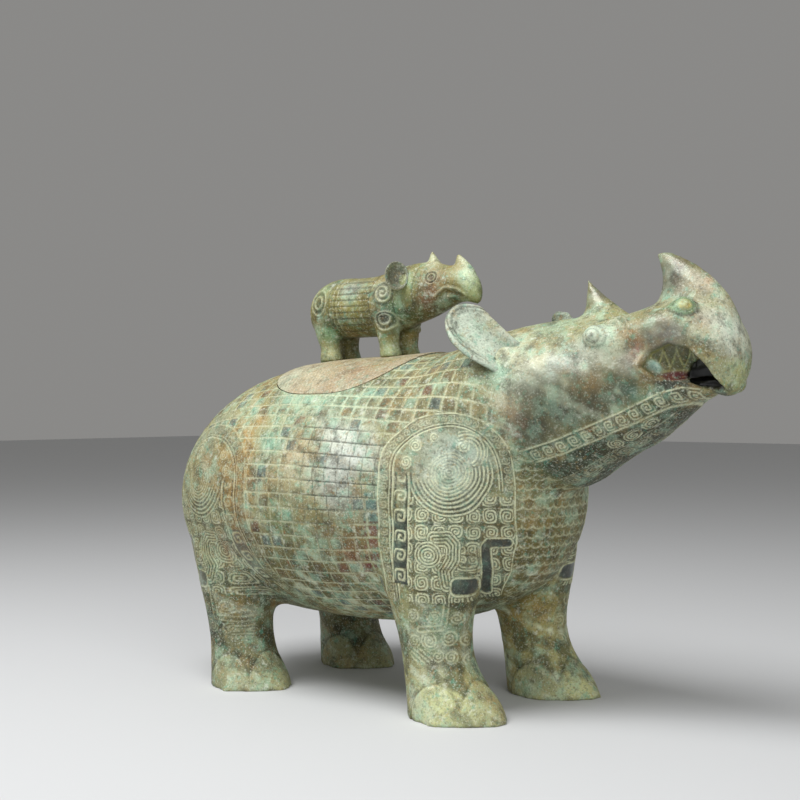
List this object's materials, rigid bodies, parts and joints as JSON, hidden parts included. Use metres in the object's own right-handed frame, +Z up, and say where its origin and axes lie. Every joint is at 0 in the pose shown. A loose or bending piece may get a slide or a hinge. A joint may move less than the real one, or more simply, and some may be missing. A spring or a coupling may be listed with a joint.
{
  "type": "rhinoceros-shaped wine vessel",
  "caption": "Cast bronze wine vessel shaped as a standing rhinoceros, filled through a lidded opening in its back and poured from its mouth, with a calf as the lid's handle.",
  "frame": {"origin": "centre of the vessel's box, on the floor that the four soles stand on", "axes": "+X towards the animal's head, +Y towards its left side, +Z up"},
  "size_m": [0.4733, 0.2044, 0.3245],
  "materials": {
    "green_patina": "cast bronze with mottled green, olive and brown patina and engraved ornament",
    "dark_patina": "polished dark olive bronze with pale green specks",
    "pale_patina": "pale grey-green patina",
    "lid_patina": "tan bronze with fine scratches and a pale bloom",
    "calf_patina": "brown and green patina with engraved ornament"
  },
  "bodies": {
    "vessel": {"body_shell": "green_patina", "head": "dark_patina", "leg_front_left": "green_patina", "leg_front_right": "green_patina", "leg_rear_left": "green_patina", "leg_rear_right": "green_patina", "ear_left": "pale_patina", "ear_right": "pale_patina", "nose_horn": "dark_patina", "brow_horn": "dark_patina", "tail": "green_patina"},
    "lid": {"lid_plate": "lid_patina", "calf": "calf_patina", "calf_ear_left": "calf_patina", "calf_ear_right": "calf_patina", "calf_nose_horn": "calf_patina", "calf_brow_horn": "calf_patina", "calf_tail": "calf_patina"}
  },
  "joints": [
    {"name": "lid_lift", "type": "slide", "parent": "vessel", "child": "lid", "axis": [0, 0, 1], "range_m": [0, 0.12]}
  ]
}
